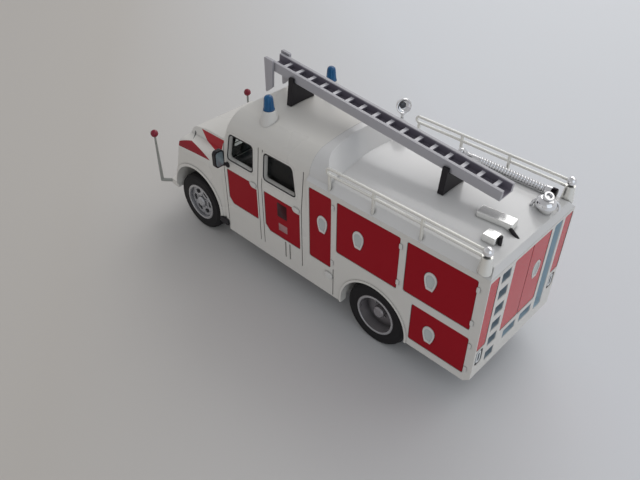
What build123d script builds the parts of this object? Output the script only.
from build123d import *
import os
from math import atan, cos, sin, sqrt

# Small die-cast model of a bonneted crew-cab fire engine, in millimetres.
# +X points forward, +Y to the vehicle's left and +Z up.
# The origin is on the floor, midway between the rear face and the front marker ball.
# A station is a distance forward from the rear face.

# overall
half_width = 18.0
wheelbase = 72.3
rear_overhang = 30.0
seam = 0.12

# wheels and axles
tyre_radius = 9.45
rim_radius = 6.0
tyre_fit = 0.02
wheel_face_y = 16.8
front_tyre_width = 6.4
rear_tyre_width = 7.6
tyre_shoulder = 0.9
rim_wall = 0.75
disc_thickness = 0.8
front_dish = 1.0
rear_dish = 3.4
hub_radius = 1.7
front_hub_reach = 0.9
rear_hub_reach = 2.2
rim_hole_count = 6
rim_hole_width = 1.5
rim_hole_length = 2.3
axle_radius = 0.8
axle_fit = 0.02
axle_play = 0.05
hub_skin = 0.7

# rear body
body_front = 53.3
body_top = 41.4
body_bottom = 8.6
rear_corner_z = 10.2
rear_corner_cut = 1.6
body_wall = 2.0
rear_arch_radius = 10.7
arch_lip_proud = 0.25
arch_lip_width = 0.6
module_groove = 43.7
groove_width = 0.3
groove_height = 9.2
tub_wall = 0.8
rear_tub_y = 8.7
pocket_depth = 0.6
panel_thickness = 0.5
panel_corner = 0.5
corner_cut = 2.4

# cab
sill_z = 8.1
belt_z = 31.0
gutter_y = 16.9
gutter_z = 42.4
roof_edge_y = 12.0
roof_edge_z = 48.4
roof_crown = 1.1
cab_wall = 1.4
screen_foot = 87.6
screen_foot_z = 34.0
screen_head = 83.4
screen_head_z = 47.4
screen_low_z = 36.2
screen_high_z = 46.4
screen_low_y = 14.6
screen_high_y = 13.4
roof_front = 80.6
window_bottom_z = 33.9
window_top_z = 41.6
window_corner = 0.9
glass_gap = 0.05
glass_thickness = 0.7
glass_rear = 56.3
door_gap_width = 0.3
door_gap_depth = 0.35
door_gap_bottom_z = 12.0
sill_slots = [60.0, 61.7]
sill_slot_z = 14.2
sill_slot_height = 5.4
sill_slot_width = 0.6
front_arch_radius = 10.8
front_arch_shift = -1.4
front_arch_z = 12.4
wing_lip_width = 0.9
wing_lip_proud = 0.3
wing_lip_foot_z = 9.5

# grille, headlamps and bumper
grille_recess = 1.2
grille_plate = 0.5
grille_bar = 0.6
grille_half = 9.0
grille_z = 20.6
grille_height = 9.0
grille_bars = 6
grille_corner = 0.8
grille_frame = 0.7
headlamp_recess = 1.5
headlamp_body = 1.1
headlamp_y = 13.4
headlamp_radius = 2.4
bumper_gap = 0.1
bumper_depth = 4.2
bumper_inset = 0.5
bumper_corner = 1.6
bumper_bottom_z = 10.6

# bonnet and wings
nose_rear = 85.0
nose_front = 113.6
nose_bottom_z = 12.6
nose_head = 108.7
wing_side_z = 27.2
wing_top_y = 14.8
wing_top_z = 30.4
bonnet_foot_y = 12.3
bonnet_side_y = 11.0
bonnet_side_z = 33.4
bonnet_crown = 1.7
bonnet_rear_z = 35.4
bonnet_front = 106.6
bonnet_front_z = 32.8
nose_round_z = 30.8
nose_corner = 0.9
nose_bow = 0.5
bay_front = 107.0
well_inner_y = 9.4

# deck
deck_edge_y = 15.9
deck_edge_z = 43.4
deck_crown = 1.6
deck_rim_run = 0.9
deck_slope_run = 6.5
fairing_top = 51.0
fairing_foot = 46.2
fairing_foot_z = 44.2

# base plate
base_bottom_z = 8.6
base_top_z = 9.8
base_gap = 0.15
base_front = 112.2
axle_block_y = 7.4
axle_block_length = 6.0
axle_block_bottom_z = 7.4
axle_block_top_z = 12.5
axle_slot_radius = 1.3

# ladder
ladder_rear = 8.9
ladder_front = 82.6
ladder_rear_z = 51.6
ladder_rise = 0.104
main_half_width = 2.7
main_depth = 2.6
stile_width = 0.95
ladder_web = 0.5
first_rung = 3.0
rung_pitch = 4.42
rung_width = 1.0
rung_height = 0.7
rung_drop = 0.9
hook_bottom_z = 49.6
hook_slant = 2.2
hook_width = 3.2
hook_foot_width = 2.6
hook_rise = 0.6
hook_thickness = 0.8
bracket_thickness = 1.6
bracket_foot_y = 4.55
bracket_head_y = 3.45
bracket_clear = 0.15
bracket_lug_rise = 1.5
front_bracket = 73.0
rear_bracket = 23.2

# small fittings
cup_seam = 0.05
cup_rim = 0.55
cup_dish = 0.15
hinge_width = 0.8
hinge_height = 1.5
hinge_proud = 0.25
filler_station = 45.2
filler_z = 15.0
filler_length = 2.8
filler_height = 2.0
filler_proud = 0.4
stub_station = 88.2
stub_z = 10.5
stub_length = 3.6
stub_height = 2.0
stub_proud = 0.6
steering_y = 7.4
steering_radius = 3.0
glass_top_z = 46.8
glass_foot = 1.2
marker_out = 1.2
marker_ahead = 2.2
marker_foot_radius = 0.55
marker_tip_radius = 0.3
marker_foot_z = 11.6
marker_foot_run = 1.9
marker_foot_reach = 1.6
marker_ball_z = 28.8
marker_ball_radius = 1.2
beacon_station = 72.7
beacon_inset = 6.2
beacon_base_z = 51.3
beacon_base_height = 5.0
beacon_foot_radius = 2.7
beacon_neck_radius = 1.8
beacon_lens_radius = 1.55
beacon_lens_height = 4.0
searchlight_rise = 6.0
searchlight_inset = 2.0
searchlight_back = 2.9
searchlight_radius = 1.9
searchlight_stem = 0.55
mirror_station = 84.6
mirror_out = 2.9
mirror_z = 35.4
mirror_width = 3.2
mirror_height = 5.2
mirror_thickness = 1.2
mirror_mount_z = 31.9
mirror_mount_radius = 1.0
hose_rear = 6.6
hose_rib_front = 24.4
hose_front = 31.0
hose_inset = 3.2
hose_z = 44.75
hose_radius = 0.95
hose_pitch = 0.75
rib_depth = 0.2
collar_radius = 1.2
collar_length = 1.4
coupling_length = 2.6

# fittings at the rear of the deck
monitor_station = 3.3
monitor_y = -8.4
monitor_turn = 0.5
pedestal_radius = 1.7
pedestal_top_z = 45.3
dome_radius = 2.5
dome_lip = 0.4
dome_neck = 1.2
dome_height = 2.0
mouth_radius = 1.15
mouth_length = 1.3
mouth_bore = 0.7
monitor_arm_radius = 0.35
chest_station = 8.5
chest_y = 3.6
chest_length = 8.8
chest_width = 3.2
chest_top_z = 46.3
chest_turn = 5
box_station = 5.9
box_y = 9.7
box_length = 3.4
box_width = 3.0
box_top_z = 46.0
fitting_radius = 0.45

# guard rails
rail_inset = 0.6
rail_z = 47.8
rail_gap = 1.7
rail_radius = 0.36
rail_rear = 2.2
rail_front = 45.8
rail_posts = [18.4, 32.2]
post_radius = 0.42
socket_foot_z = 42.4
socket_foot_radius = 1.6
socket_head_radius = 1.15
socket_head_z = 46.6
knob_radius = 1.15
knob_z = 47.8

bumper_rear = base_front + bumper_gap
bumper_front = bumper_rear + bumper_depth
overall_length = bumper_front + marker_ahead + marker_ball_radius
rear_x = -overall_length / 2
front_axle_x = rear_x + rear_overhang + wheelbase
rear_axle_x = rear_x + rear_overhang
roof_top_z = roof_edge_z + roof_crown
deck_top_z = deck_edge_z + deck_crown
inner_y = half_width - body_wall
base_y = inner_y - base_gap
pocket_z = base_top_z + base_gap
ladder_angle = atan(ladder_rise)
nose_lean = (nose_front - nose_head) / (nose_round_z - nose_bottom_z)
nose_angle = atan(nose_lean)
front_arch_x = front_axle_x + front_arch_shift
bumper_top_z = nose_bottom_z
bumper_y = half_width - bumper_inset
marker_y = half_width + marker_out
beacon_y = half_width - beacon_inset
mirror_y = half_width + mirror_out
rail_y = half_width - rail_inset
hose_y = -(half_width - hose_inset)
rung_count = int((ladder_front - ladder_rear - first_rung) / rung_pitch) + 1
hook_front = ladder_front + 0.4
parts = {}


def sx(station):
    # X of a station
    return rear_x + station


def keep(part, name):
    part.label = name
    parts[name] = part


def rod(start, end, radius):
    # round bar from start to end, in the current part
    run = Vector(*end) - Vector(*start)
    with Locations(Plane(origin=start, z_dir=run)):
        Cylinder(radius, run.length, align=(Align.CENTER, Align.CENTER, Align.MIN))


def both_sides(part):
    # a left-hand part together with its right-hand image
    return Compound([*part.solids(), *mirror(part, about=Plane.XZ).solids()])


def cab_section(inset, low_z):
    # front view of the cab: straight sides, leaning glass line, rounded shoulders, crowned roof
    with BuildSketch() as section:
        with BuildLine():
            side = Polyline((half_width, low_z), (half_width, belt_z), (gutter_y, gutter_z))
            shoulder = TangentArc(side @ 1, (roof_edge_y, roof_edge_z), tangent=side % 1)
            mirror(about=Plane.YZ)
            SagittaArc(shoulder @ 1, (-roof_edge_y, roof_edge_z), -roof_crown)
            Line((half_width, low_z), (-half_width, low_z))
        make_face()
        if inset:
            offset(amount=-inset)
    return section.sketch


def cab_profile(inset, low_z, high_z):
    # side view of the cab: upright rear, raked windscreen, rounded roof front
    rake = (screen_foot - screen_head) / (screen_head_z - screen_foot_z)
    back = inset * sqrt(1 + rake**2)
    foot = sx(screen_foot - back)
    with BuildSketch() as profile:
        with BuildLine():
            screen = Line((foot, screen_foot_z), (sx(screen_head - back), screen_head_z - inset))
            brow = TangentArc(screen @ 1, (sx(roof_front - inset), roof_top_z - inset), tangent=screen % 1)
            Polyline(
                brow @ 1,
                (sx(roof_front - inset), high_z),
                (sx(body_front + inset), high_z),
                (sx(body_front + inset), low_z),
                (foot, low_z),
                (foot, screen_foot_z),
            )
        make_face()
    return profile.sketch


def cab_form(inset, low_z):
    # the cab's outer form, or its form inset by a wall
    high_z = roof_top_z + 1
    with BuildPart() as form:
        with BuildSketch(Plane.XZ):
            add(cab_profile(inset, low_z, high_z))
        extrude(amount=half_width + 1, both=True)
        with BuildSketch(Plane.YZ.offset(sx(body_front - 10))):
            add(cab_section(inset, 0))
        extrude(amount=60, mode=Mode.INTERSECT)
    return form.part


# side windows of the cab, seen from the side, as stations: bottom rear, bottom front, top front, top rear
side_windows = {
    "front": (74.2, 84.6, 83.7, 74.4),
    "rear": (57.5, 69.7, 69.7, 59.5),
}

# red panels of the cab doors: rear station, front station, bottom z, top z
cab_panels = {
    "front": (72.6, 85.1, 19.0, 30.6),
    "rear": (55.9, 69.7, 17.4, 30.3),
}

# locker doors of the rear body: rear station, front station, bottom z, top z
lockers = {
    "narrow": (44.7, 52.4, 17.7, 39.9),
    "long": (23.3, 42.9, 24.2, 39.9),
    "rear_high": (2.6, 21.4, 25.0, 39.9),
    "rear_low": (2.2, 18.4, 10.8, 22.6),
}

# latch cups of the lockers: station and height of the middle
latch_spots = ((47.8, 30.4), (35.8, 32.0), (14.2, 32.2), (12.7, 15.9))
# hinge bumps of the lockers: station and height of the middle
hinge_spots = (
    (44.1, 37.6),
    (44.1, 20.0),
    (23.0, 37.6),
    (23.0, 26.6),
    (2.3, 37.6),
    (2.3, 27.6),
    (1.7, 20.6),
    (1.7, 12.8),
)
# the rear door's latch cup: y and height
rear_latch = (-4.5, 30.4)
cup_width = 3.5
cup_height = 5.4
cup_foot_width = 1.1
cup_sink = 0.3
cup_thickness = 0.35

# hollow of the wing side: height, depth at the cab, reach forward
hollow_rows = ((sill_z - 1, 0.9, 1.4), (wing_side_z, 0.1, 3.4))

# door handles, each in a notch at the upper rear corner of its panel
handle_ahead = 1.1
handle_z = 30.4
handle_length = 3.6
handle_height = 2.6
handle_proud = 0.35

# vertical gaps of the cab doors, as stations
door_gaps = [55.2, 70.4, 72.0, 86.2]

# red corner strips of the rear face: side, bottom z, top z
corner_strip_rows = ((1, 19.4, 40.5), (-1, 22.8, 40.5))
corner_strip_width = 3.7
corner_strip_edge = 0.3
# double door of the rear face
rear_door_half = 7.9
rear_door_bottom = 18.8
rear_door_top = 40.6
# ladder step cells on the left of the rear face, and the plain recess on its right
step_gap = 1.3
step_width = 3.7
step_height = 3.0
step_pitch = 4.9
step_count = 6
step_bottom_z = 14.1
step_depth = 1.4
right_recess_foot_z = 13.4
low_cell_z = 15.9
low_cell_y = -0.9
low_cell_width = 5.6
low_cell_height = 2.9
low_cell_pitch = 7.4
# tail lamp recesses: side, middle z
tail_lamp_rows = ((1, 16.4), (-1, 19.4))
tail_lamp_inset = 2.2
tail_lamp_width = 2.8
tail_lamp_height = 4.8
tail_lamp_radius = 1.1
step_y = rear_door_half + step_gap + step_width / 2
tail_lamp_y = half_width - tail_lamp_inset
strip_outer = half_width - corner_strip_edge
strip_inner = strip_outer - corner_strip_width


def side_rectangle(rear, front, low, high, grow):
    # rectangle in the side view, grown all round
    with Locations((sx((rear + front) / 2), (low + high) / 2)):
        RectangleRounded(front - rear + 2 * grow, high - low + 2 * grow, panel_corner)


def rear_rectangle(inner, outer, low, high, grow):
    # rectangle in the rear view, grown all round
    with Locations(((inner + outer) / 2, (low + high) / 2)):
        RectangleRounded(outer - inner + 2 * grow, high - low + 2 * grow, panel_corner)


def corner_rectangle(side, low, high, grow):
    # a corner strip's rectangle in the rear view
    middle = side * (strip_inner + strip_outer) / 2
    rear_rectangle(middle - corner_strip_width / 2, middle + corner_strip_width / 2, low, high, grow)


def panel_cut(front, low, grow):
    # the cut lower front corner of a cab door panel
    with Locations((sx(front), low)):
        Rectangle(corner_cut + 2 * grow, corner_cut + 2 * grow, rotation=45, mode=Mode.SUBTRACT)


def handle_notch(rear, grow):
    # the handle's place at the upper rear corner of a cab door
    with Locations((sx(rear + handle_ahead), handle_z)):
        SlotOverall(handle_length + 2 * grow, handle_height + 2 * grow, mode=Mode.SUBTRACT)


def cup_outline(shrink):
    # outline of a latch cup: a round head and sides that run down to a narrow foot
    half, foot = cup_width / 2 - shrink, cup_foot_width / 2
    head, low = cup_height / 2 - shrink, -cup_height / 2 + shrink
    with BuildSketch() as outline:
        with BuildLine():
            crown = ThreePointArc((half, cup_height / 8), (0, head), (-half, cup_height / 8))
            flank = SagittaArc(crown @ 1, (-foot, low), -cup_width / 9)
            Line(flank @ 1, (foot, low))
            SagittaArc((foot, low), crown @ 0, -cup_width / 9)
        make_face()
    return outline.sketch


def cup_rings(outer, inner):
    # latch cup outlines on a side, in the sketch that is open: the outer one less the inner one
    for station, height in latch_spots:
        with Locations((sx(station), height)):
            add(cup_outline(outer))
            if inner:
                add(cup_outline(inner), mode=Mode.SUBTRACT)


def nose_plane(depth):
    # plane parallel to the nose's leaning front face, a depth behind it, centred on the grille
    normal = Vector(cos(nose_angle), 0, sin(nose_angle))
    face = Vector(sx(nose_front - nose_lean * (grille_z - nose_bottom_z)), 0, grille_z)
    return Plane(origin=face - normal * depth, x_dir=(0, 1, 0), z_dir=normal)


def axle_slot(axle_x):
    # slot open below in the inner walls, where an axle drops in
    reach = 2 * well_inner_y + 0.4
    with Locations((axle_x, 0, tyre_radius)):
        Cylinder(axle_slot_radius, reach, rotation=(90, 0, 0), mode=Mode.SUBTRACT)
    with Locations((axle_x, 0, tyre_radius - 2)):
        Box(2 * axle_slot_radius, reach, 4, mode=Mode.SUBTRACT)


def base_pocket(rear, front, reach):
    # room for the base plate
    with Locations((sx((rear + front) / 2), 0, pocket_z - 2)):
        Box(front - rear, 2 * reach, 4, mode=Mode.SUBTRACT)


# side outline of the rear body, lower ahead of its wheels
body_outline = (
    (sx(0), rear_corner_z),
    (sx(rear_corner_cut), body_bottom),
    (rear_axle_x, body_bottom),
    (rear_axle_x, sill_z),
    (sx(body_front), sill_z),
    (sx(body_front), body_top),
    (sx(0), body_top),
)

# rear body: hollow box with locker pockets, step cells and wheel arches
with BuildPart() as rear_body:
    with BuildSketch(Plane.XZ):
        with BuildLine():
            Polyline(*body_outline, close=True)
        make_face()
    extrude(amount=half_width, both=True)
    with BuildSketch(Plane.XZ):
        with Locations((rear_axle_x, tyre_radius)):
            Circle(rear_arch_radius + arch_lip_width)
        with BuildLine():
            Polyline(*body_outline, close=True)
        make_face(mode=Mode.INTERSECT)
    extrude(amount=half_width + arch_lip_proud, both=True)
    with BuildSketch(Plane.XY):
        with Locations((sx(body_front / 2), 0)):
            Rectangle(body_front - 2 * body_wall, 2 * inner_y)
    extrude(amount=body_top - body_wall, mode=Mode.SUBTRACT)
    for side in (1, -1):
        with BuildSketch(Plane.XZ.offset(-side * (rear_tub_y - tub_wall))):
            with Locations((rear_axle_x, tyre_radius)):
                Circle(rear_arch_radius + tub_wall)
            with Locations((rear_axle_x, body_bottom)):
                Rectangle(
                    4 * rear_arch_radius,
                    2 * rear_arch_radius,
                    align=(Align.CENTER, Align.MAX),
                    mode=Mode.SUBTRACT,
                )
        extrude(amount=-side * (inner_y + 1 - rear_tub_y + tub_wall))
        with BuildSketch(Plane.XZ.offset(-side * rear_tub_y)):
            with Locations((rear_axle_x, tyre_radius)):
                Circle(rear_arch_radius)
        extrude(amount=-side * half_width, mode=Mode.SUBTRACT)
    axle_slot(rear_axle_x)
    base_pocket(2.0, body_front + 1, inner_y)
    for side in (1, -1):
        with BuildSketch(Plane.XZ.offset(-side * half_width)):
            for rear, front, low, high in lockers.values():
                side_rectangle(rear, front, low, high, 0)
        extrude(amount=side * pocket_depth, mode=Mode.SUBTRACT)
    with BuildSketch(Plane.YZ.offset(sx(0))):
        rear_rectangle(-rear_door_half, rear_door_half, rear_door_bottom, rear_door_top, 0)
        for side, low, high in corner_strip_rows:
            corner_rectangle(side, low, high, 0)
    extrude(amount=pocket_depth, mode=Mode.SUBTRACT)
    with BuildSketch(Plane.YZ.offset(sx(0))):
        for step in range(step_count):
            with Locations((step_y, step_bottom_z + step * step_pitch)):
                RectangleRounded(step_width, step_height, 0.3)
        rear_rectangle(
            -step_y - step_width / 2,
            -step_y + step_width / 2,
            right_recess_foot_z,
            rear_door_top,
            0,
        )
        for side, height in tail_lamp_rows:
            with Locations((side * tail_lamp_y, height)):
                RectangleRounded(tail_lamp_width, tail_lamp_height, 0.8)
        with Locations((low_cell_y, low_cell_z)):
            with GridLocations(low_cell_pitch, 1, 2, 1):
                RectangleRounded(low_cell_width, low_cell_height, 0.3)
    extrude(amount=step_depth, mode=Mode.SUBTRACT)
    # groove between the two modules of the body
    for side in (1, -1):
        with BuildSketch(Plane.XZ.offset(-side * half_width)):
            with Locations((sx(module_groove), body_bottom)):
                Rectangle(groove_width, groove_height, align=(Align.CENTER, Align.MIN))
        extrude(amount=side * groove_width, mode=Mode.SUBTRACT)
keep(rear_body.part, "rear_body")

# the rear body's plain block, for trimming what stands on it
with BuildPart() as body_block:
    with BuildSketch(Plane.XY.offset(body_bottom)):
        with Locations((sx(body_front / 2), 0)):
            Rectangle(body_front, 2 * half_width)
    extrude(amount=body_top - body_bottom)
rear_body_block = body_block.part

# locker doors of both sides
with BuildPart() as locker_doors:
    with BuildSketch(Plane.XZ.offset(-(half_width - pocket_depth))):
        for rear, front, low, high in lockers.values():
            side_rectangle(rear, front, low, high, -seam)
    extrude(amount=-panel_thickness)
    with BuildSketch(Plane.XZ.offset(-(half_width - pocket_depth + panel_thickness))):
        cup_rings(0, 0)
    extrude(amount=cup_sink, mode=Mode.SUBTRACT)
keep(both_sides(locker_doors.part), "locker_doors")

# rear double door, two leaves
with BuildPart() as rear_doors:
    with BuildSketch(Plane.YZ.offset(sx(pocket_depth))):
        for side in (1, -1):
            middle = side * rear_door_half / 2
            rear_rectangle(middle - rear_door_half / 2, middle + rear_door_half / 2,
                           rear_door_bottom, rear_door_top, -seam)
    extrude(amount=-panel_thickness)
    with BuildSketch(Plane.YZ.offset(sx(pocket_depth - panel_thickness))):
        with Locations(rear_latch):
            add(cup_outline(0))
    extrude(amount=cup_sink, mode=Mode.SUBTRACT)
keep(rear_doors.part, "rear_doors")

# red strips on the rear corners
with BuildPart() as corner_strips:
    with BuildSketch(Plane.YZ.offset(sx(pocket_depth))):
        for side, low, high in corner_strip_rows:
            corner_rectangle(side, low, high, -seam)
    extrude(amount=-panel_thickness)
keep(corner_strips.part, "corner_strips")

# tail lamps: an upright oval ring in each recess
with BuildPart() as tail_lamps:
    with BuildSketch(Plane.YZ.offset(sx(step_depth))):
        for side, height in tail_lamp_rows:
            with Locations((side * tail_lamp_y, height)):
                SlotOverall(tail_lamp_height - 4 * seam, 2 * tail_lamp_radius, rotation=90)
                SlotOverall(tail_lamp_height / 2, tail_lamp_radius, rotation=90, mode=Mode.SUBTRACT)
    extrude(amount=-step_depth)
keep(tail_lamps.part, "tail_lamps")

# deck: crowned slab with a sloping rim, and the fairing that runs up to the cab roof
with BuildPart() as roof_deck:
    with BuildSketch(Plane.YZ.offset(sx(0))):
        with BuildLine():
            rim = Polyline((half_width, body_top), (deck_edge_y, deck_edge_z))
            mirror(about=Plane.YZ)
            SagittaArc(rim @ 1, (-deck_edge_y, deck_edge_z), -deck_crown)
            Line((half_width, body_top), (-half_width, body_top))
        make_face()
    extrude(amount=body_front)
    with BuildSketch(Plane.XZ):
        with BuildLine():
            Polyline(
                (sx(0), body_top),
                (sx(deck_rim_run), deck_edge_z),
                (sx(deck_slope_run), deck_top_z),
                (sx(deck_slope_run + 1), deck_top_z + 1),
                (sx(body_front), deck_top_z + 1),
                (sx(body_front), body_top),
                close=True,
            )
        make_face()
    extrude(amount=half_width + 1, both=True, mode=Mode.INTERSECT)

with BuildPart() as fairing:
    with BuildSketch(Plane.XZ):
        with BuildLine():
            slope = Line((sx(fairing_foot), body_top), (sx(fairing_foot), fairing_foot_z))
            rise = Line(slope @ 1, (sx(fairing_top), roof_top_z - 0.1))
            Polyline(rise @ 1, (sx(body_front), roof_top_z + 1), (sx(body_front), body_top), slope @ 0)
        make_face()
    extrude(amount=half_width + 1, both=True)
    with BuildSketch(Plane.YZ.offset(sx(fairing_foot))):
        add(cab_section(0, sill_z))
    extrude(amount=body_front - fairing_foot, mode=Mode.INTERSECT)
deck_solid = roof_deck.part + fairing.part
keep(deck_solid, "roof_deck")

# bonnet and wings as one nose block
with BuildPart() as nose:
    with BuildSketch(Plane.YZ.offset(sx(nose_rear))):
        with BuildLine():
            wing = Line((half_width, sill_z), (half_width, wing_side_z))
            shoulder = TangentArc(wing @ 1, (wing_top_y, wing_top_z), tangent=wing % 1)
            valley = Polyline(shoulder @ 1, (bonnet_foot_y, wing_top_z + 0.2), (bonnet_side_y, bonnet_side_z))
            mirror(about=Plane.YZ)
            SagittaArc(valley @ 1, (-bonnet_side_y, bonnet_side_z), -bonnet_crown)
            Line((half_width, sill_z), (-half_width, sill_z))
        make_face()
    extrude(amount=nose_front - nose_rear)
    with BuildSketch(Plane.XZ):
        with BuildLine():
            top = Polyline(
                (sx(nose_rear), sill_z),
                (sx(nose_rear), bonnet_rear_z + 0.3),
                (sx(screen_foot), bonnet_rear_z),
                (sx(bonnet_front), bonnet_front_z),
            )
            brow = TangentArc(top @ 1, (sx(nose_head), nose_round_z), tangent=top % 1)
            Polyline(
                brow @ 1,
                (sx(nose_front), nose_bottom_z),
                (front_axle_x, nose_bottom_z),
                (front_axle_x, sill_z),
                (sx(nose_rear), sill_z),
            )
        make_face()
    extrude(amount=half_width + 1, both=True, mode=Mode.INTERSECT)
    # proud lip round each wheel arch
    with BuildSketch(Plane.XZ):
        with Locations((front_arch_x, front_arch_z)):
            Circle(front_arch_radius + wing_lip_width)
        with BuildLine():
            Polyline(
                (sx(nose_rear), wing_lip_foot_z),
                (front_arch_x, wing_lip_foot_z),
                (front_arch_x, nose_bottom_z),
                (sx(nose_front + nose_bow), nose_bottom_z),
                (sx(nose_front + nose_bow), bonnet_rear_z),
                (sx(nose_rear), bonnet_rear_z),
                close=True,
            )
        make_face(mode=Mode.INTERSECT)
    extrude(amount=half_width + wing_lip_proud, both=True)
    # plan form with a bowed front and cut corners, leaning back with the front face
    plan_z = sill_z - 1
    plan_front = sx(nose_front - nose_bow) + nose_lean * (nose_bottom_z - plan_z)
    with BuildSketch(Plane.XY.offset(plan_z)):
        with BuildLine():
            front = ThreePointArc(
                (plan_front, half_width - nose_corner),
                (plan_front + nose_bow, 0),
                (plan_front, nose_corner - half_width),
            )
            Polyline(
                front @ 1,
                (plan_front - nose_corner, -half_width),
                (plan_front - nose_corner, -half_width - 1),
                (sx(nose_rear), -half_width - 1),
                (sx(nose_rear), half_width + 1),
                (plan_front - nose_corner, half_width + 1),
                (plan_front - nose_corner, half_width),
                front @ 0,
            )
        make_face()
    extrude(amount=overall_length, dir=(-nose_lean, 0, 1), mode=Mode.INTERSECT)
    # wing sides drawn in towards the cab
    for side in (1, -1):
        for height, hollow, reach in hollow_rows:
            with BuildSketch(Plane.XY.offset(height)):
                with BuildLine():
                    Polyline(
                        (sx(screen_foot), side * (half_width - hollow)),
                        (sx(screen_foot + reach), side * (half_width + wing_lip_proud)),
                        (sx(screen_foot), side * (half_width + wing_lip_proud)),
                        close=True,
                    )
                make_face()
        loft(mode=Mode.SUBTRACT)

# cab casting: cab shell and nose, with windows, wheel wells, door gaps and panel pockets
with BuildPart() as cab_body:
    add(cab_form(0, sill_z))
    add(nose.part)
    add(cab_form(cab_wall, 2.0), mode=Mode.SUBTRACT)
    # engine bay, open below
    with BuildSketch(Plane.XY):
        with Locations((sx(screen_foot + 2 * cab_wall), 0)):
            Rectangle(
                bay_front - screen_foot - 2 * cab_wall,
                2 * (well_inner_y - cab_wall),
                align=(Align.MIN, Align.CENTER),
            )
    extrude(amount=wing_top_z - cab_wall, mode=Mode.SUBTRACT)
    # wheel wells, with the axle slot and the base plate's room
    for side in (1, -1):
        with BuildSketch(Plane.XZ.offset(-side * well_inner_y)):
            with Locations((front_arch_x, front_arch_z)):
                Circle(front_arch_radius)
        extrude(amount=-side * half_width, mode=Mode.SUBTRACT)
    axle_slot(front_axle_x)
    base_pocket(body_front - 1, screen_foot - cab_wall, inner_y)
    base_pocket(body_front, nose_front, well_inner_y - cab_wall)
    # the wings end higher than the sill
    with BuildSketch(Plane.XZ):
        with Locations((sx(door_gaps[-1] + door_gap_width / 2), wing_lip_foot_z)):
            Rectangle(nose_front - screen_foot, wing_lip_foot_z, align=(Align.MIN, Align.MAX))
    extrude(amount=half_width + 1, both=True, mode=Mode.SUBTRACT)
    # pockets of the grille and headlamps
    with BuildSketch(nose_plane(grille_recess)):
        RectangleRounded(2 * grille_half, grille_height, grille_corner)
    extrude(amount=nose_front - bay_front, mode=Mode.SUBTRACT)
    with BuildSketch(nose_plane(headlamp_recess)):
        with Locations((headlamp_y, 0), (-headlamp_y, 0)):
            Circle(headlamp_radius)
    extrude(amount=nose_front - bay_front, mode=Mode.SUBTRACT)
    # two slots in the left and right sills
    for side in (1, -1):
        with BuildSketch(Plane.XZ.offset(-side * half_width)):
            for station in sill_slots:
                with Locations((sx(station), sill_slot_z)):
                    SlotOverall(sill_slot_height, sill_slot_width, rotation=90)
        extrude(amount=side * door_gap_depth, mode=Mode.SUBTRACT)
    # side windows
    for low_rear, low_front, high_front, high_rear in side_windows.values():
        with BuildSketch(Plane.XZ):
            with BuildLine():
                Polyline(
                    (sx(low_rear), window_bottom_z),
                    (sx(low_front), window_bottom_z),
                    (sx(high_front), window_top_z),
                    (sx(high_rear), window_top_z),
                    close=True,
                )
            make_face()
            fillet(vertices(), window_corner)
        extrude(amount=half_width + 2, both=True, mode=Mode.SUBTRACT)
    # windscreen
    with BuildSketch(Plane.YZ.offset(sx(roof_front))):
        with BuildLine():
            Polyline(
                (screen_low_y, screen_low_z),
                (screen_high_y, screen_high_z),
                (-screen_high_y, screen_high_z),
                (-screen_low_y, screen_low_z),
                close=True,
            )
        make_face()
        fillet(vertices(), window_corner)
    extrude(amount=8, mode=Mode.SUBTRACT)
    # gaps round the doors
    for station in door_gaps:
        with BuildSketch(Plane.YZ.offset(sx(station) - door_gap_width / 2)):
            add(cab_section(0, sill_z))
            add(cab_section(door_gap_depth, sill_z - 5), mode=Mode.SUBTRACT)
            with Locations((0, (door_gap_bottom_z + gutter_z) / 2)):
                Rectangle(2 * half_width + 2, gutter_z - door_gap_bottom_z, mode=Mode.INTERSECT)
        extrude(amount=door_gap_width, mode=Mode.SUBTRACT)
    # pockets of the red door panels
    for side in (1, -1):
        with BuildSketch(Plane.XZ.offset(-side * half_width)):
            for rear, front, low, high in cab_panels.values():
                side_rectangle(rear, front, low, high, 0)
                panel_cut(front, low, 0)
                handle_notch(rear, 0)
        extrude(amount=side * pocket_depth, mode=Mode.SUBTRACT)
keep(cab_body.part, "cab_body")

# red panels of the cab doors
with BuildPart() as cab_door_panels:
    with BuildSketch(Plane.XZ.offset(-(half_width - pocket_depth))):
        for rear, front, low, high in cab_panels.values():
            side_rectangle(rear, front, low, high, -seam)
            panel_cut(front, low, seam)
            handle_notch(rear, seam)
    extrude(amount=-panel_thickness)
keep(both_sides(cab_door_panels.part), "cab_panels")

# latch cups, each a rim round a shallow dish, let into its door
cup_face = half_width - pocket_depth + panel_thickness - cup_sink
rear_cup_face = sx(pocket_depth - panel_thickness + cup_sink)
with BuildPart() as side_rims:
    with BuildSketch(Plane.XZ.offset(-cup_face)):
        cup_rings(cup_seam, cup_rim)
    extrude(amount=-cup_thickness)
with BuildPart() as rear_rim:
    with BuildSketch(Plane.YZ.offset(rear_cup_face)):
        with Locations(rear_latch):
            add(cup_outline(cup_seam))
            add(cup_outline(cup_rim), mode=Mode.SUBTRACT)
    extrude(amount=-cup_thickness)
keep(Compound([*both_sides(side_rims.part).solids(), *rear_rim.part.solids()]), "latch_rims")
with BuildPart() as side_dishes:
    with BuildSketch(Plane.XZ.offset(-cup_face)):
        cup_rings(cup_rim + cup_seam, 0)
    extrude(amount=cup_dish - cup_thickness)
with BuildPart() as rear_dish_part:
    with BuildSketch(Plane.YZ.offset(rear_cup_face)):
        with Locations(rear_latch):
            add(cup_outline(cup_rim + cup_seam))
    extrude(amount=cup_dish - cup_thickness)
keep(Compound([*both_sides(side_dishes.part).solids(), *rear_dish_part.part.solids()]), "latch_dishes")

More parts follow.
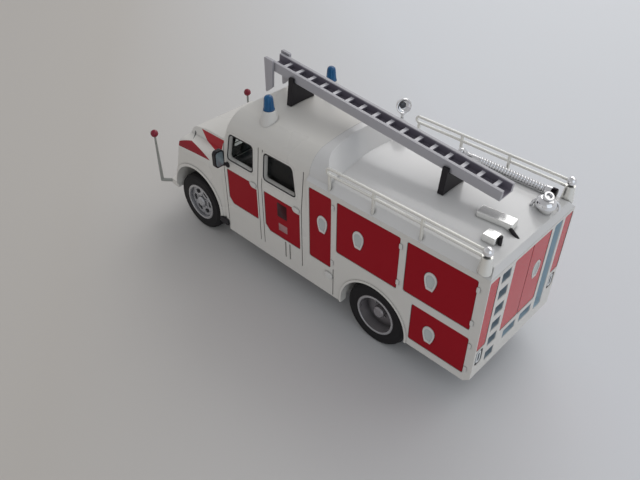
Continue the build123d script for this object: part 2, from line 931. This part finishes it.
# handles at the upper rear corners of the cab doors
with BuildPart() as door_handles:
    with BuildSketch(Plane.XZ.offset(-half_width)):
        for rear, front, low, high in cab_panels.values():
            with Locations((sx(rear + handle_ahead), handle_z)):
                SlotOverall(handle_length - handle_height / 2, handle_height / 2)
    extrude(amount=-handle_proud)
keep(both_sides(door_handles.part), "door_handles")

# hinge bumps on the rear edges of the locker doors
with BuildPart() as hinges:
    with BuildSketch(Plane.XZ.offset(-half_width)):
        for station, height in hinge_spots:
            with Locations((sx(station), height)):
                RectangleRounded(hinge_width, hinge_height, 0.25)
    extrude(amount=-hinge_proud)
keep(both_sides(hinges.part), "locker_hinges")

# oval filler cap on the sill, and the black stubs behind the front wheels
with BuildPart() as filler_cap:
    with BuildSketch(Plane.XZ.offset(-half_width)):
        with Locations((sx(filler_station), filler_z)):
            SlotOverall(filler_length, filler_height)
    extrude(amount=-filler_proud)
keep(filler_cap.part, "filler_cap")
with BuildPart() as cab_steps:
    with BuildSketch(Plane.XZ.offset(-(half_width - body_wall / 2))):
        with Locations((sx(stub_station), stub_z)):
            RectangleRounded(stub_length, stub_height, 0.4)
    extrude(amount=-body_wall / 2 - stub_proud)
    add(cab_body.part, mode=Mode.SUBTRACT)
keep(both_sides(cab_steps.part), "cab_steps")

# base plate with axle blocks
with BuildPart() as base_plate:
    with BuildSketch(Plane.XY.offset(base_bottom_z)):
        with Locations((sx((body_wall + base_gap + screen_foot - 2) / 2), 0)):
            Rectangle(screen_foot - 2 - body_wall - base_gap, 2 * base_y)
        with Locations((sx((screen_foot + base_front) / 2 - 5), 0)):
            Rectangle(base_front - screen_foot + 10, 2 * axle_block_y)
        for side in (1, -1):
            with Locations((rear_axle_x, side * (rear_tub_y - tub_wall - base_gap + 10))):
                Rectangle(2 * (rear_arch_radius + tub_wall + base_gap), 20, mode=Mode.SUBTRACT)
    extrude(amount=base_top_z - base_bottom_z)
    with BuildSketch(Plane.XZ):
        for axle_x in (rear_axle_x, front_axle_x):
            with Locations((axle_x, (axle_block_bottom_z + axle_block_top_z) / 2)):
                Rectangle(axle_block_length, axle_block_top_z - axle_block_bottom_z)
    extrude(amount=axle_block_y, both=True)
    with BuildSketch(Plane.XZ):
        with Locations((rear_axle_x, tyre_radius), (front_axle_x, tyre_radius)):
            Circle(axle_radius + axle_play)
    extrude(amount=axle_block_y + 1, both=True, mode=Mode.SUBTRACT)
keep(base_plate.part, "base_plate")

# cab interior in one moulding: floor, seats, bench and dash
# rear station, front station, inner y, inset from the side, bottom z, top z
interior_blocks = (
    (55.0, 85.8, 0.0, 2.4, base_top_z, 11.2),
    (57.0, 62.0, 0.0, 5.0, 11.0, 23.0),
    (56.6, 58.4, 0.0, 5.0, 22.0, 36.5),
    (73.2, 78.4, 1.6, 5.2, 11.0, 24.0),
    (72.6, 74.4, 1.6, 5.2, 23.0, 37.5),
    (82.4, 85.4, 0.0, 4.0, 11.0, 32.2),
)
with BuildPart() as cab_interior:
    for rear, front, inner, inset, low, high in interior_blocks:
        outer = half_width - inset
        for side in (1, -1):
            with BuildSketch(Plane.XY.offset(low)):
                with Locations((sx((rear + front) / 2), side * (inner + outer) / 2)):
                    Rectangle(front - rear, outer - inner)
            extrude(amount=high - low)
    rod((sx(82.6), steering_y, 30.4), (sx(80.3), steering_y, 32.4), 0.45)
keep(cab_interior.part, "cab_interior")
wheel_plane = Plane(origin=(sx(80.15), steering_y, 32.53), z_dir=(-2.3, 0, 2.0))
with BuildPart() as steering_wheel:
    with BuildSketch(wheel_plane):
        Circle(steering_radius)
        Circle(steering_radius - 0.5, mode=Mode.SUBTRACT)
        Rectangle(2 * steering_radius - 0.4, 0.6)
        Circle(0.8)
    extrude(amount=0.5)
keep(steering_wheel.part, "steering_wheel")

# glazing: one clear shell behind the windows
glass_bottom_z = window_bottom_z - glass_foot
glass_outer = cab_form(cab_wall + glass_gap, glass_bottom_z)
glass_inner = cab_form(cab_wall + glass_gap + glass_thickness, glass_bottom_z - glass_foot)
with BuildPart() as cab_glazing:
    with BuildSketch(Plane.XY.offset(glass_bottom_z)):
        with Locations((sx(glass_rear), 0)):
            Rectangle(screen_foot - glass_rear, 2 * half_width, align=(Align.MIN, Align.CENTER))
    extrude(amount=glass_top_z - glass_bottom_z)
    add(glass_outer, mode=Mode.INTERSECT)
    add(glass_inner, mode=Mode.SUBTRACT)
keep(cab_glazing.part, "cab_glazing")

# grille, headlamps and bumper
with BuildPart() as front_grille:
    with BuildSketch(nose_plane(grille_recess)):
        RectangleRounded(2 * (grille_half - seam), grille_height - 2 * seam, grille_corner - seam)
    extrude(amount=grille_plate)
    with BuildSketch(nose_plane(grille_recess - grille_plate)):
        RectangleRounded(2 * (grille_half - seam), grille_height - 2 * seam, grille_corner - seam)
        RectangleRounded(
            2 * (grille_half - grille_frame),
            grille_height - 2 * grille_frame,
            grille_corner / 2,
            mode=Mode.SUBTRACT,
        )
        with GridLocations(0, grille_height / grille_bars, 1, grille_bars - 1):
            Rectangle(2 * grille_half - grille_frame, grille_bar)
    extrude(amount=grille_bar)
keep(front_grille.part, "front_grille")
with BuildPart() as headlamps:
    with BuildSketch(nose_plane(headlamp_recess)):
        with Locations((headlamp_y, 0)):
            Circle(headlamp_radius - seam)
    extrude(amount=headlamp_body)
    with BuildSketch(nose_plane(headlamp_recess - headlamp_body)):
        with Locations((headlamp_y, 0)):
            Circle(headlamp_radius - 4 * seam)
    extrude(amount=headlamp_recess - headlamp_body + seam, taper=30)
keep(both_sides(headlamps.part), "headlamps")
with BuildPart() as front_bumper:
    with BuildSketch(Plane.XY.offset(bumper_bottom_z)):
        with BuildLine():
            Polyline(
                (sx(bumper_rear), bumper_y),
                (sx(bumper_front - bumper_corner / 2), bumper_y),
                (sx(bumper_front), bumper_y - bumper_corner),
                (sx(bumper_front), bumper_corner - bumper_y),
                (sx(bumper_front - bumper_corner / 2), -bumper_y),
                (sx(bumper_rear), -bumper_y),
                close=True,
            )
        make_face()
    extrude(amount=bumper_top_z - bumper_bottom_z)
keep(front_bumper.part, "front_bumper")

# marker rods on the bumper's ends: an arm out to a tapered upright with a ball
marker_x = overall_length / 2 - marker_ball_radius
marker_foot = (marker_x, marker_y, marker_foot_z)
marker_root = (marker_x - 2 * marker_foot_run, marker_y - 2 * marker_foot_reach, marker_foot_z)
with BuildPart() as marker_rods:
    rod(marker_root, marker_foot, marker_foot_radius)
    with Locations(marker_foot):
        Sphere(marker_foot_radius)
        Cone(
            marker_foot_radius,
            marker_tip_radius,
            marker_ball_z - marker_foot_z,
            align=(Align.CENTER, Align.CENTER, Align.MIN),
        )
    with Locations((marker_x, marker_y, marker_ball_z)):
        Sphere(marker_ball_radius, mode=Mode.SUBTRACT)
    add(front_bumper.part, mode=Mode.SUBTRACT)
keep(both_sides(marker_rods.part), "marker_rods")
with BuildPart() as marker_balls:
    with Locations((marker_x, marker_y, marker_ball_z), (marker_x, -marker_y, marker_ball_z)):
        Sphere(marker_ball_radius)
keep(marker_balls.part, "marker_balls")

# beacons on the cab roof: a flared foot and a tapered lens
cab_solid = cab_form(0, sill_z)
with BuildPart() as beacon_bases:
    with Locations((sx(beacon_station), beacon_y, beacon_base_z - beacon_base_height)):
        Cone(
            beacon_foot_radius,
            beacon_neck_radius,
            beacon_base_height,
            align=(Align.CENTER, Align.CENTER, Align.MIN),
        )
    add(cab_solid, mode=Mode.SUBTRACT)
    fillet(beacon_bases.edges().filter_by(GeomType.CIRCLE).sort_by(Axis.Z)[-1], 0.25)
keep(both_sides(beacon_bases.part), "beacon_bases")
with BuildPart() as beacon_lenses:
    with BuildSketch(Plane.XY.offset(beacon_base_z)):
        with Locations((sx(beacon_station), beacon_y)):
            Circle(beacon_lens_radius)
    extrude(amount=beacon_lens_height, taper=8)
    fillet(beacon_lenses.edges().sort_by(Axis.Z)[-1], 0.5)
keep(both_sides(beacon_lenses.part), "beacon_lenses")

# searchlight on the right of the fairing, its bowl facing rearward
lamp_z = fairing_foot_z + searchlight_rise
lamp_y = searchlight_inset - half_width
lamp_x = sx(body_front - searchlight_back)
lamp_depth = 0.55 * searchlight_radius
with BuildPart() as searchlight:
    rod((lamp_x, lamp_y, body_top), (lamp_x, lamp_y, lamp_z), searchlight_stem)
    with BuildSketch(Plane.XZ.offset(-lamp_y)):
        with BuildLine():
            shell = Polyline(
                (lamp_x - lamp_depth / 3, lamp_z),
                (lamp_x + lamp_depth, lamp_z),
                (lamp_x + lamp_depth, lamp_z + searchlight_radius / 2),
                (lamp_x, lamp_z + searchlight_radius),
                (lamp_x - lamp_depth, lamp_z + searchlight_radius),
                (lamp_x - lamp_depth, lamp_z + 0.8 * searchlight_radius),
            )
            SagittaArc(shell @ 1, shell @ 0, searchlight_radius / 8)
        make_face()
    revolve(axis=Axis((lamp_x, lamp_y, lamp_z), (1, 0, 0)))
    add(deck_solid, mode=Mode.SUBTRACT)
    add(rear_body_block, mode=Mode.SUBTRACT)
keep(searchlight.part, "searchlight")

# door mirrors, each on an arm from a round mount
with BuildPart() as door_mirrors:
    with BuildSketch(Plane.YZ.offset(sx(mirror_station) - mirror_thickness / 2)):
        with Locations((mirror_y, mirror_z)):
            RectangleRounded(mirror_width, mirror_height, mirror_width / 3)
    extrude(amount=mirror_thickness)
    mount = (sx(mirror_station), half_width - mirror_mount_radius / 2, mirror_mount_z)
    rod(mount, (sx(mirror_station), mirror_y, mirror_z - mirror_height / 3), mirror_mount_radius / 2)
    with Locations(mount):
        Sphere(mirror_mount_radius)
    add(cab_solid, mode=Mode.SUBTRACT)
keep(both_sides(door_mirrors.part), "door_mirrors")

# guard rails along the deck edges: a bent tube, its posts and a socket at the rear corner
with BuildPart() as guard_rail:
    with BuildLine(Plane.XZ.offset(-rail_y)):
        upper = Line((sx(rail_rear), rail_z), (sx(rail_front), rail_z))
        bend = TangentArc(upper @ 1, (sx(rail_front), rail_z - rail_gap), tangent=upper % 1)
        Line(bend @ 1, (sx(rail_rear), rail_z - rail_gap))
    with BuildSketch(Plane.YZ.offset(sx(rail_rear))):
        with Locations((rail_y, rail_z)):
            Circle(rail_radius)
    sweep()
    for station in rail_posts:
        rod((sx(station), rail_y, body_top), (sx(station), rail_y, rail_z), post_radius)
    rod((sx(rail_front), rail_y, body_top), (sx(rail_front), rail_y, rail_z - rail_gap), post_radius)
    with Locations((sx(rail_rear), rail_y, socket_foot_z)):
        Cone(
            socket_foot_radius,
            socket_head_radius,
            socket_head_z - socket_foot_z,
            align=(Align.CENTER, Align.CENTER, Align.MIN),
        )
    with Locations((sx(rail_rear), rail_y, knob_z)):
        Sphere(knob_radius, mode=Mode.SUBTRACT)
    add(deck_solid, mode=Mode.SUBTRACT)
    add(rear_body_block, mode=Mode.SUBTRACT)
keep(both_sides(guard_rail.part), "guard_rails")
with BuildPart() as rail_knobs:
    with Locations((sx(rail_rear), rail_y, knob_z), (sx(rail_rear), -rail_y, knob_z)):
        Sphere(knob_radius)
keep(rail_knobs.part, "rail_knobs")

# ladder, laid on its two brackets with its head raised
ladder_plane = Plane(
    origin=(sx(ladder_rear), 0, ladder_rear_z),
    x_dir=(cos(ladder_angle), 0, sin(ladder_angle)),
    z_dir=(-sin(ladder_angle), 0, cos(ladder_angle)),
)
ladder_length = (ladder_front - ladder_rear) / cos(ladder_angle)
with BuildPart() as ladder_main:
    with BuildSketch(ladder_plane.offset(-main_depth)):
        for side in (1, -1):
            with Locations((ladder_length / 2, side * (main_half_width - stile_width / 2))):
                Rectangle(ladder_length, stile_width)
    extrude(amount=main_depth)
    # thin web that closes the bottom between the stiles
    with BuildSketch(ladder_plane.offset(-main_depth)):
        with Locations((ladder_length / 2, 0)):
            Rectangle(ladder_length, 2 * main_half_width - stile_width)
    extrude(amount=ladder_web)
    with BuildSketch(ladder_plane.offset(-rung_drop - rung_height)):
        for rung in range(rung_count):
            with Locations((first_rung + rung * rung_pitch, 0)):
                Rectangle(rung_width, 2 * main_half_width - stile_width)
    extrude(amount=rung_height)
keep(ladder_main.part, "ladder_main")


def ladder_top(station):
    # height of the ladder's upper face at a station
    return ladder_rear_z + ladder_rise * (station - ladder_rear)


# hook plates hanging from the ladder's head
with BuildPart() as ladder_hooks:
    for side in (1, -1):
        with BuildSketch(Plane.XZ.offset(-side * (main_half_width + 0.02))):
            with BuildLine():
                Polyline(
                    (sx(hook_front - hook_width), ladder_top(hook_front - hook_width) + hook_rise),
                    (sx(hook_front), ladder_top(hook_front) + hook_rise),
                    (sx(hook_front), hook_bottom_z),
                    (sx(hook_front - hook_foot_width), hook_bottom_z + hook_slant),
                    close=True,
                )
            make_face()
            fillet(vertices(), 0.3)
        extrude(amount=-side * hook_thickness)
keep(ladder_hooks.part, "ladder_hooks")

# trapezoid brackets under the ladder: station, foot z, the solid each stands on
brackets = []
for station, foot_z, ground in (
    (front_bracket, roof_edge_z, cab_solid),
    (rear_bracket, deck_edge_z, deck_solid),
):
    seat_z = ladder_top(station - bracket_thickness / 2) - main_depth / cos(ladder_angle) - bracket_clear
    with BuildPart() as bracket:
        with BuildSketch(Plane.YZ.offset(sx(station) - bracket_thickness / 2)):
            with BuildLine():
                Polyline(
                    (-bracket_foot_y, foot_z),
                    (bracket_foot_y, foot_z),
                    (bracket_head_y, seat_z + bracket_lug_rise),
                    (-bracket_head_y, seat_z + bracket_lug_rise),
                    close=True,
                )
            make_face()
            with Locations((0, seat_z)):
                Rectangle(
                    2 * (main_half_width + bracket_clear),
                    2 * bracket_lug_rise,
                    align=(Align.CENTER, Align.MIN),
                    mode=Mode.SUBTRACT,
                )
        extrude(amount=bracket_thickness)
        add(ground, mode=Mode.SUBTRACT)
    brackets += bracket.part.solids()
keep(Compound(brackets), "ladder_brackets")

# suction hose: ribbed at the rear, plain ahead with a collar, and its coupling
with BuildPart() as suction_hose:
    rod((sx(hose_rear), hose_y, hose_z), (sx(hose_front), hose_y, hose_z), hose_radius - rib_depth)
    for rib in range(int((hose_rib_front - hose_rear) / hose_pitch)):
        start = hose_rear + (rib + 0.5) * hose_pitch
        rod((sx(start), hose_y, hose_z), (sx(start + hose_pitch / 2), hose_y, hose_z), hose_radius)
    rod((sx(hose_front - collar_length), hose_y, hose_z), (sx(hose_front), hose_y, hose_z), collar_radius)
    add(deck_solid, mode=Mode.SUBTRACT)
keep(suction_hose.part, "suction_hose")
with BuildPart() as hose_coupling:
    rod((sx(hose_rear - coupling_length), hose_y, hose_z), (sx(hose_rear), hose_y, hose_z), collar_radius)
    add(deck_solid, mode=Mode.SUBTRACT)
keep(hose_coupling.part, "hose_coupling")

# monitor: pale pedestal, chrome dome with a tilted mouth and two bent side arms
monitor_x = sx(monitor_station)
with BuildPart() as monitor_base:
    rod((monitor_x, monitor_y, body_top), (monitor_x, monitor_y, pedestal_top_z), pedestal_radius)
    add(deck_solid, mode=Mode.SUBTRACT)
keep(monitor_base.part, "monitor_base")
monitor_plane = Plane(
    origin=(monitor_x, monitor_y, pedestal_top_z),
    x_dir=(cos(monitor_turn), sin(monitor_turn), 0),
    z_dir=(sin(monitor_turn), -cos(monitor_turn), 0),
)
mouth_plane = Plane(origin=(monitor_x, monitor_y, pedestal_top_z + dome_height - 0.3), z_dir=(-0.4, 0.3, 1))
with BuildPart() as water_monitor:
    with BuildSketch(monitor_plane):
        with BuildLine():
            lip = Polyline((0, 0), (dome_radius, 0), (dome_radius, dome_lip))
            crown = TangentArc(lip @ 1, (dome_neck, dome_height), tangent=lip % 1)
            Polyline(crown @ 1, (0, dome_height), (0, 0))
        make_face()
    revolve(axis=Axis(monitor_plane.origin, (0, 0, 1)))
    with Locations(mouth_plane):
        Cylinder(mouth_radius, mouth_length, align=(Align.CENTER, Align.CENTER, Align.MIN))
    with Locations(mouth_plane.offset(mouth_length)):
        Cylinder(mouth_bore, mouth_length, mode=Mode.SUBTRACT)
    for side in (1, -1):
        with BuildLine(monitor_plane) as arm_path:
            ThreePointArc(
                (side * dome_neck, dome_height - 0.4),
                (side * (dome_radius + 0.3), 0.4),
                (side * (dome_radius + 0.5), -1.2),
            )
        with BuildSketch(Plane(origin=arm_path.line @ 0, z_dir=arm_path.line % 0)):
            Circle(monitor_arm_radius)
        sweep()
    add(monitor_base.part, mode=Mode.SUBTRACT)
    add(deck_solid, mode=Mode.SUBTRACT)
keep(water_monitor.part, "water_monitor")

# low chest and box on the deck
with BuildPart() as deck_chest:
    with BuildSketch(Plane.XY.offset(body_top)):
        with Locations((sx(chest_station), chest_y)):
            RectangleRounded(chest_length, chest_width, 0.5, rotation=chest_turn)
    extrude(amount=chest_top_z - body_top)
    fillet(deck_chest.faces().sort_by(Axis.Z)[-1].edges(), 0.25)
    add(deck_solid, mode=Mode.SUBTRACT)
keep(deck_chest.part, "deck_chest")
with BuildPart() as deck_box:
    with BuildSketch(Plane.XY.offset(body_top)):
        with Locations((sx(box_station), box_y)):
            RectangleRounded(box_length, box_width, 0.4)
    extrude(amount=box_top_z - body_top)
    fillet(deck_box.faces().sort_by(Axis.Z)[-1].edges(), 0.25)
    add(deck_solid, mode=Mode.SUBTRACT)
keep(deck_box.part, "deck_box")

# dark fittings: the chest's latch bar and the post behind the box
with BuildPart() as deck_fittings:
    latch_start = (sx(chest_station - chest_length / 2 + 0.4), chest_y + chest_width / 3, chest_top_z - 1)
    rod(latch_start, (latch_start[0] - 2.2, latch_start[1] - 0.2, deck_edge_z), fitting_radius)
    post_x = sx(box_station - box_length / 2 - fitting_radius)
    rod((post_x, box_y, body_top), (post_x, box_y, box_top_z + 0.4), fitting_radius)
    add(deck_chest.part, mode=Mode.SUBTRACT)
    add(deck_box.part, mode=Mode.SUBTRACT)
    add(deck_solid, mode=Mode.SUBTRACT)
keep(deck_fittings.part, "deck_fittings")


def spun(axle_x, points):
    # an outline of radius and y, spun round an axle
    with BuildPart() as wheel:
        with BuildSketch(Plane(origin=(axle_x, 0, tyre_radius), z_dir=(0, 0, 1))):
            with BuildLine():
                Polyline(*points, close=True)
            make_face()
        revolve(axis=Axis((axle_x, 0, tyre_radius), (0, 1, 0)))
    return wheel.part


# axle sets: name, axle x, tyre width, dish of the disc, reach of the hub
for name, axle_x, tyre_width, dish, hub_reach in (
    ("front", front_axle_x, front_tyre_width, front_dish, front_hub_reach),
    ("rear", rear_axle_x, rear_tyre_width, rear_dish, rear_hub_reach),
):
    outer = wheel_face_y
    inner = wheel_face_y - tyre_width
    disc = outer - dish
    hub_end = disc + hub_reach
    bead = rim_radius + tyre_fit
    tyre = spun(axle_x, (
        (bead, outer - 0.15), (tyre_radius - tyre_shoulder, outer), (tyre_radius - 0.25, outer - 0.3),
        (tyre_radius, outer - tyre_shoulder), (tyre_radius, inner + tyre_shoulder),
        (tyre_radius - 0.25, inner + 0.3), (tyre_radius - tyre_shoulder, inner), (bead, inner + 0.15),
    ))
    keep(both_sides(tyre), name + "_tyres")
    bore = axle_radius + axle_fit
    rim = spun(axle_x, (
        (bore, inner + 0.2), (hub_radius, inner + 0.2), (hub_radius, disc - disc_thickness),
        (rim_radius - rim_wall, disc - disc_thickness), (rim_radius - rim_wall, inner + 0.2),
        (rim_radius, inner + 0.2), (rim_radius, outer - 0.1), (rim_radius - rim_wall, outer - 0.1),
        (rim_radius - rim_wall, disc), (hub_radius, disc), (hub_radius, hub_end - 0.4),
        (hub_radius - 0.4, hub_end), (0, hub_end), (0, hub_end - hub_skin), (bore, hub_end - hub_skin),
    ))
    if name == "front":
        with BuildPart() as pierced:
            add(rim)
            with BuildSketch(Plane.XZ.offset(-disc)):
                with Locations((axle_x, tyre_radius)):
                    with PolarLocations(3.5, rim_hole_count):
                        SlotOverall(rim_hole_length, rim_hole_width, rotation=90)
            extrude(amount=disc_thickness, mode=Mode.SUBTRACT)
        rim = pierced.part
    keep(both_sides(rim), name + "_rims")
    with BuildPart() as pin:
        pin_end = hub_end - hub_skin - 0.05
        rod((axle_x, -pin_end, tyre_radius), (axle_x, pin_end, tyre_radius), axle_radius)
    keep(pin.part, name + "_axle_pin")

os.makedirs("parts", exist_ok=True)
for name, part in parts.items():
    export_step(part, "parts/" + name + ".step")
